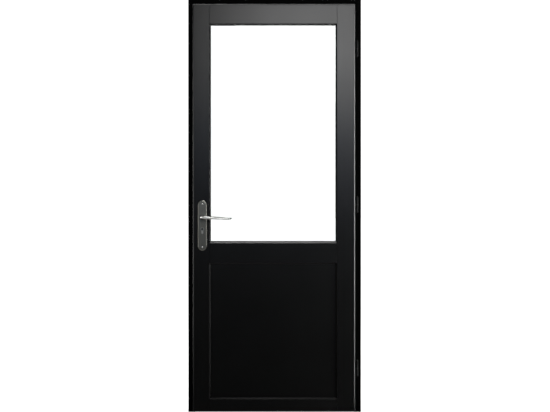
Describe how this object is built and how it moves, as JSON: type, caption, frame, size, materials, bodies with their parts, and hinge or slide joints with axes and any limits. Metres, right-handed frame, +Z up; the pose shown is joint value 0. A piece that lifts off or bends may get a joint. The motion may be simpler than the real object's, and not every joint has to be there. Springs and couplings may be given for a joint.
{
  "type": "glazed door with frame",
  "caption": "Single-leaf timber door in its frame: large glass pane over a recessed panel, lever set on long plates, mortise lock and barrel hinges; opens and latches.",
  "frame": {"origin": "on the floor, midway between the frame's two sides and in the middle plane of the leaf", "axes": "+Z up along the jambs; -Y is the front, the side the leaf opens to and where the hinge barrels show; +X from the lock side to the hinge side"},
  "size_m": [0.9, 0.1698, 2.15],
  "materials": {
    "black_lacquer": "satin black lacquer on timber",
    "black_metal": "black powder coat",
    "satin_nickel": "satin nickel plate",
    "steel": "zinc plated steel",
    "brass": "sintered brass",
    "aluminium": "mill aluminium",
    "rubber": "black extruded rubber",
    "nylon": "moulded nylon",
    "clear_glass": "clear float glass"
  },
  "bodies": {
    "frame": {"lock_jamb": "black_lacquer", "hinge_jamb": "black_lacquer", "frame_head": "black_lacquer", "frame_screws": "steel", "threshold": "aluminium", "frame_seal_lock": "rubber", "frame_seal_hinge": "rubber", "frame_seal_head": "rubber", "strike_plate": "steel", "strike_screws": "steel", "hinge_pin_bottom": "black_metal", "hinge_pin_middle": "black_metal", "hinge_pin_top": "black_metal", "hinge_washers": "nylon"},
    "leaf": {"lock_stile": "black_lacquer", "hinge_stile": "black_lacquer", "top_rail": "black_lacquer", "mid_rail": "black_lacquer", "bottom_rail": "black_lacquer", "lower_panel": "black_lacquer", "bead_top": "black_lacquer", "bead_bottom": "black_lacquer", "bead_lock_side": "black_lacquer", "bead_hinge_side": "black_lacquer", "hinge_leaf_bottom": "black_metal", "hinge_leaf_middle": "black_metal", "hinge_leaf_top": "black_metal", "handle_plate_front": "satin_nickel", "handle_plate_back": "satin_nickel", "plate_bolts": "satin_nickel", "sleeve_nuts": "satin_nickel", "cylinder_body": "satin_nickel", "bead_pins": "steel", "lock_case": "steel", "lock_cover": "steel", "cover_screws": "steel", "faceplate": "steel", "faceplate_screws": "steel", "cylinder_screw": "steel", "latch_spring": "steel", "spacer_frame": "aluminium", "edge_sealant": "rubber", "glazing_tape_front": "rubber", "glazing_tape_back": "rubber", "bottom_seal": "rubber", "setting_blocks": "nylon", "neck_bush_front": "nylon", "neck_bush_back": "nylon", "pane_front": "clear_glass", "pane_back": "clear_glass"},
    "levers": {"lever_front": "satin_nickel", "lever_back": "satin_nickel", "spindle": "steel", "grub_screws": "steel", "follower": "brass"},
    "latch": {"latch_bolt": "steel"},
    "bolt": {"deadbolt": "steel"},
    "front_plug": {"key_plug_front": "satin_nickel", "cylinder_cam": "steel"},
    "back_plug": {"key_plug_back": "satin_nickel"}
  },
  "joints": [
    {"name": "leaf_swing", "type": "hinge", "parent": "frame", "child": "leaf", "pos_m": [0.428, -0.016, 1.08], "axis": [0, 0, 1], "range_deg": [0, 110]},
    {"name": "lever_turn", "type": "hinge", "parent": "leaf", "child": "levers", "pos_m": [-0.375, 0, 1.015], "axis": [0, 1, 0], "range_deg": [0, 40], "stiffness_Nm_per_rad": 2, "springref_deg": -28.65},
    {"name": "latch_slide", "type": "slide", "parent": "leaf", "child": "latch", "axis": [1, 0, 0], "range_m": [0, 0.012], "deforming": ["latch_spring"]},
    {"name": "front_plug_turn", "type": "hinge", "parent": "leaf", "child": "front_plug", "pos_m": [-0.375, 0, 0.953], "axis": [0, 1, 0], "range_deg": [0, 360]},
    {"name": "back_plug_turn", "type": "hinge", "parent": "leaf", "child": "back_plug", "pos_m": [-0.375, 0, 0.953], "axis": [0, 1, 0], "range_deg": [0, 360]},
    {"name": "bolt_slide", "type": "slide", "parent": "leaf", "child": "bolt", "axis": [-1, 0, 0], "range_m": [0, 0.02]}
  ],
  "couplings": [
    {"joint": "latch_slide", "follows": "lever_turn", "m_per_rad": 0.01718},
    {"joint": "front_plug_turn", "follows": "bolt_slide", "rad_per_m": 314.16}
  ]
}
